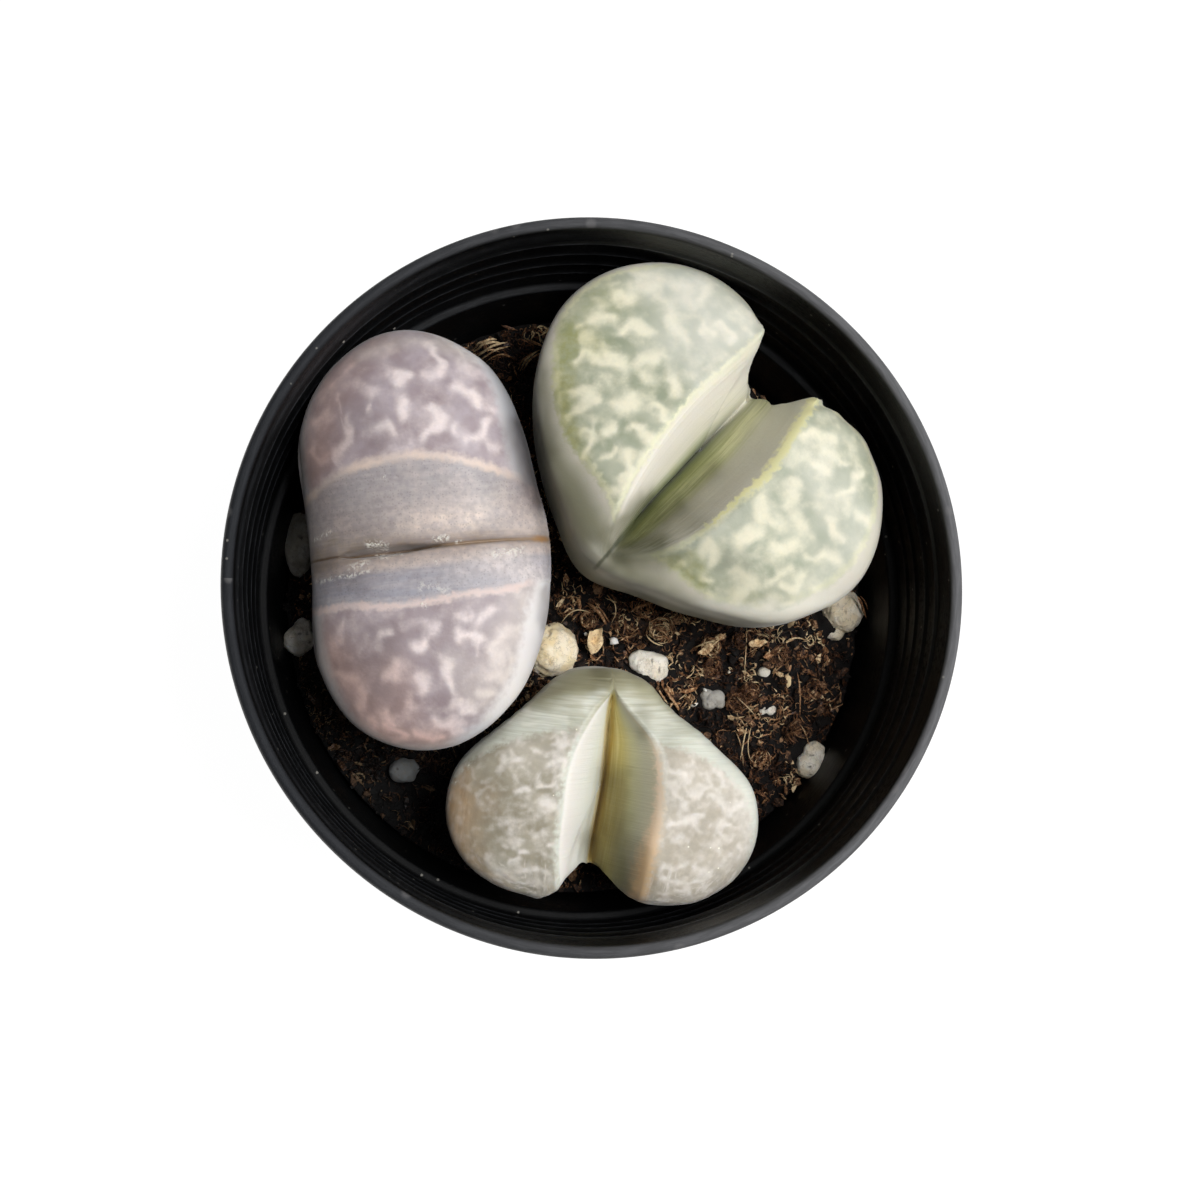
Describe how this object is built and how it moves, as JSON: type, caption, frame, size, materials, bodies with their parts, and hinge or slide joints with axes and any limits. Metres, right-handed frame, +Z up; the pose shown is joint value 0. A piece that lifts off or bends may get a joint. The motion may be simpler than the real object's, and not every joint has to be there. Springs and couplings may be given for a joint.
{
  "type": "potted lithops",
  "caption": "Round tapered nursery pot with a ribbed collar, filled with fibrous soil, holding split, stone-like lithops heads among perlite grains.",
  "frame": {"origin": "on the pot's axis, in the plane that the foot ring stands on", "axes": "+Z up out of the pot; +X to the right and +Y to the top as the picture looks down on it"},
  "size_m": [0.07, 0.07, 0.0608],
  "materials": {
    "pot_plastic": "thin moulded black plastic with a soft sheen",
    "soil": "damp coir and peat, fibrous and crumbly",
    "leaf_green": "waxy skin, grey-green windows under cream islands",
    "leaf_mauve": "waxy skin, grey-mauve windows with soft pale spots",
    "leaf_beige": "waxy skin, grey-beige windows with pale freckles",
    "perlite": "porous white and cream mineral grains"
  },
  "bodies": {
    "root": {"pot": "pot_plastic", "soil": "soil", "lithops_green": "leaf_green", "lithops_mauve": "leaf_mauve", "lithops_small": "leaf_beige", "perlite_grain_01": "perlite", "perlite_grain_02": "perlite", "perlite_grain_03": "perlite", "perlite_grain_04": "perlite", "perlite_grain_05": "perlite", "perlite_grain_06": "perlite", "perlite_grain_07": "perlite", "perlite_grain_08": "perlite", "perlite_grain_09": "perlite", "perlite_grain_10": "perlite"}
  },
  "joints": []
}
